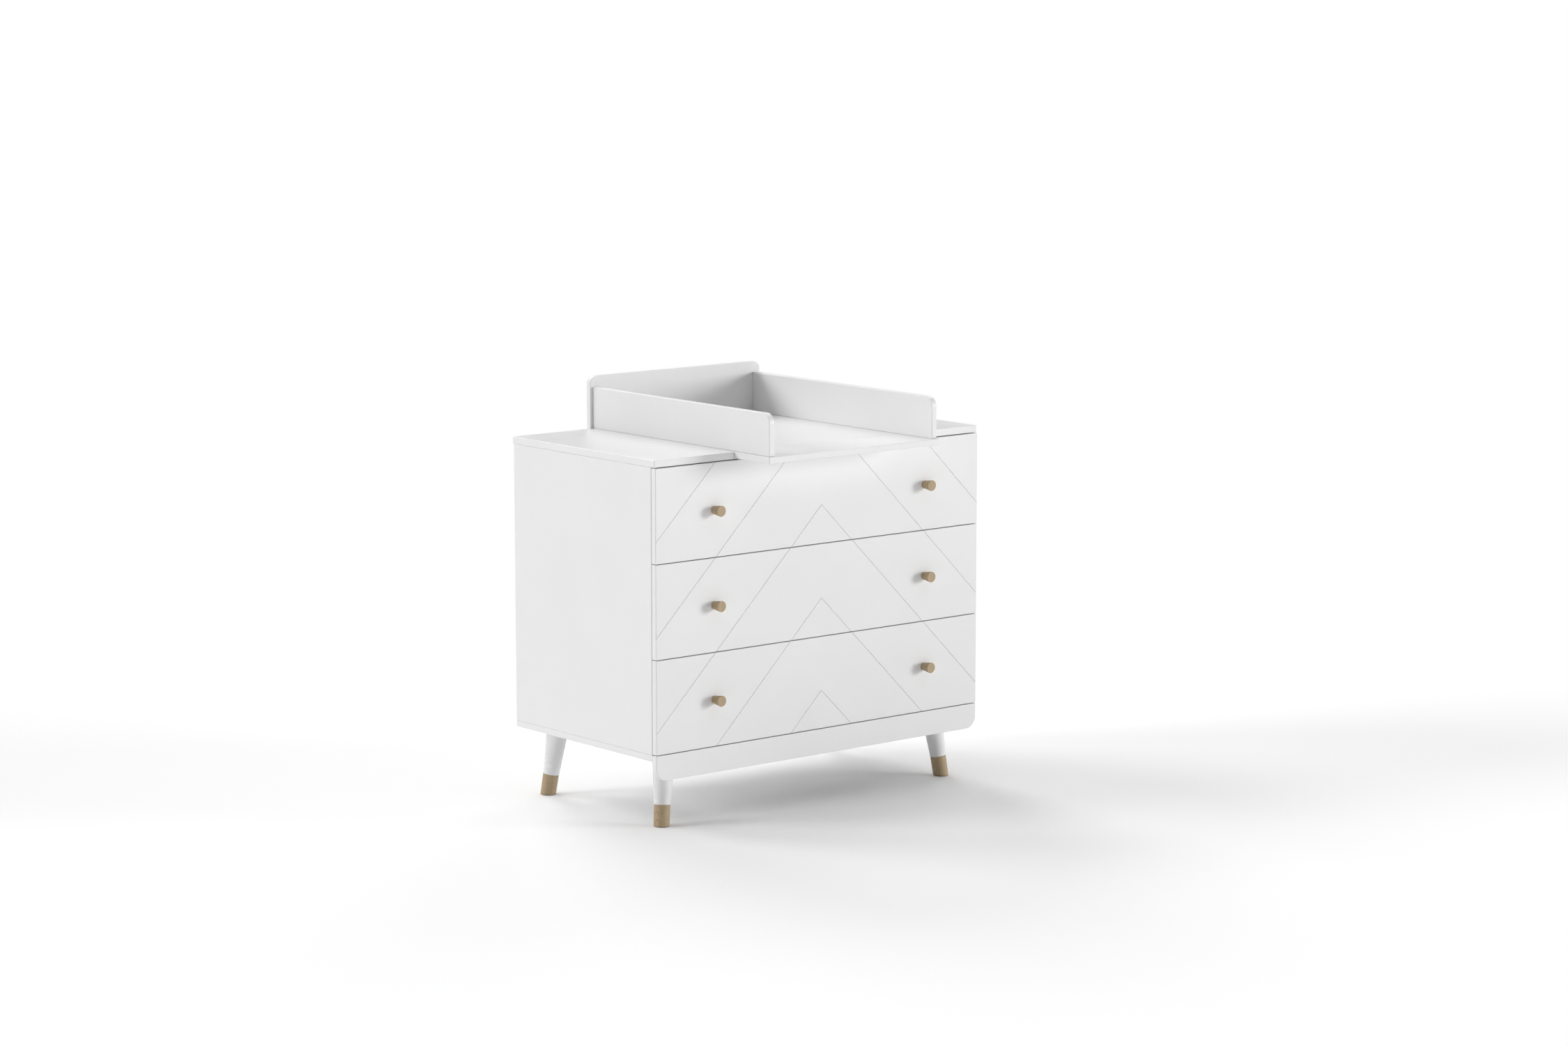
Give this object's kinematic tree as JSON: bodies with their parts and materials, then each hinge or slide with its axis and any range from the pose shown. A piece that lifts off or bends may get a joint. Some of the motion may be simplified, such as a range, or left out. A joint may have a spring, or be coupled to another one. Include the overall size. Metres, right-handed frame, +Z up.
{
  "type": "changing table",
  "caption": "White chest of drawers on splayed wood-tipped legs, with chevron-grooved drawer fronts and an open-fronted changing surround on its top.",
  "frame": {"origin": "on the floor, under the middle of the whole outline", "axes": "+X to the right along the width as the user faces the drawers, -Y towards the user (drawers pull out along -Y), +Z up"},
  "size_m": [1.046, 0.731, 1.0505],
  "materials": {
    "white_lacquer": "white satin lacquer on board",
    "leg_lacquer": "white satin lacquer on turned wood",
    "bare_wood": "clear matt oil on pale hardwood",
    "dowel_wood": "raw fluted dowel wood",
    "drawer_board": "smooth white foil on board",
    "back_sheet": "painted thin fibreboard",
    "runner_steel": "zinc-plated rolled steel",
    "zinc_steel": "zinc-plated steel",
    "glide_felt": "dark pressed felt"
  },
  "bodies": {
    "chest": {"top_panel": "white_lacquer", "bottom_panel": "white_lacquer", "side_panel_left": "white_lacquer", "side_panel_right": "white_lacquer", "back_panel": "back_sheet", "apron": "white_lacquer", "cross_rail_lower": "white_lacquer", "cross_rail_upper": "white_lacquer", "rear_rail": "white_lacquer", "carcass_dowels": "dowel_wood", "leg_front_left": "leg_lacquer", "leg_front_right": "leg_lacquer", "leg_rear_left": "leg_lacquer", "leg_rear_right": "leg_lacquer", "leg_tip_front_left": "bare_wood", "leg_tip_front_right": "bare_wood", "leg_tip_rear_left": "bare_wood", "leg_tip_rear_right": "bare_wood", "glide_pads": "glide_felt", "leg_plates": "zinc_steel", "leg_bolts": "zinc_steel", "changer_front_shelf": "white_lacquer", "changer_left_wall": "white_lacquer", "changer_right_wall": "white_lacquer", "changer_back_wall": "white_lacquer", "changer_screws": "zinc_steel", "runner_1_cabinet_members": "runner_steel", "runner_2_cabinet_members": "runner_steel", "runner_3_cabinet_members": "runner_steel"},
    "drawer_1": {"drawer_1_front": "white_lacquer", "drawer_1_side_left": "drawer_board", "drawer_1_side_right": "drawer_board", "drawer_1_back": "drawer_board", "drawer_1_bottom": "drawer_board", "drawer_1_knob_left": "bare_wood", "drawer_1_knob_right": "bare_wood", "drawer_1_knob_screws": "zinc_steel", "drawer_1_runner_members": "runner_steel"},
    "runner_1_middle": {"runner_1_middle_members": "runner_steel"},
    "drawer_2": {"drawer_2_front": "white_lacquer", "drawer_2_side_left": "drawer_board", "drawer_2_side_right": "drawer_board", "drawer_2_back": "drawer_board", "drawer_2_bottom": "drawer_board", "drawer_2_knob_left": "bare_wood", "drawer_2_knob_right": "bare_wood", "drawer_2_knob_screws": "zinc_steel", "drawer_2_runner_members": "runner_steel"},
    "runner_2_middle": {"runner_2_middle_members": "runner_steel"},
    "drawer_3": {"drawer_3_front": "white_lacquer", "drawer_3_side_left": "drawer_board", "drawer_3_side_right": "drawer_board", "drawer_3_back": "drawer_board", "drawer_3_bottom": "drawer_board", "drawer_3_knob_left": "bare_wood", "drawer_3_knob_right": "bare_wood", "drawer_3_knob_screws": "zinc_steel", "drawer_3_runner_members": "runner_steel"},
    "runner_3_middle": {"runner_3_middle_members": "runner_steel"}
  },
  "joints": [
    {"name": "drawer_1_slide", "type": "slide", "parent": "chest", "child": "drawer_1", "axis": [0, -1, 0], "range_m": [0, 0.45]},
    {"name": "runner_1_slide", "type": "slide", "parent": "chest", "child": "runner_1_middle", "axis": [0, -1, 0], "range_m": [0, 0.225]},
    {"name": "drawer_2_slide", "type": "slide", "parent": "chest", "child": "drawer_2", "axis": [0, -1, 0], "range_m": [0, 0.45]},
    {"name": "runner_2_slide", "type": "slide", "parent": "chest", "child": "runner_2_middle", "axis": [0, -1, 0], "range_m": [0, 0.225]},
    {"name": "drawer_3_slide", "type": "slide", "parent": "chest", "child": "drawer_3", "axis": [0, -1, 0], "range_m": [0, 0.45]},
    {"name": "runner_3_slide", "type": "slide", "parent": "chest", "child": "runner_3_middle", "axis": [0, -1, 0], "range_m": [0, 0.225]}
  ],
  "couplings": [
    {"joint": "runner_1_slide", "follows": "drawer_1_slide", "ratio": 0.5},
    {"joint": "runner_2_slide", "follows": "drawer_2_slide", "ratio": 0.5},
    {"joint": "runner_3_slide", "follows": "drawer_3_slide", "ratio": 0.5}
  ]
}
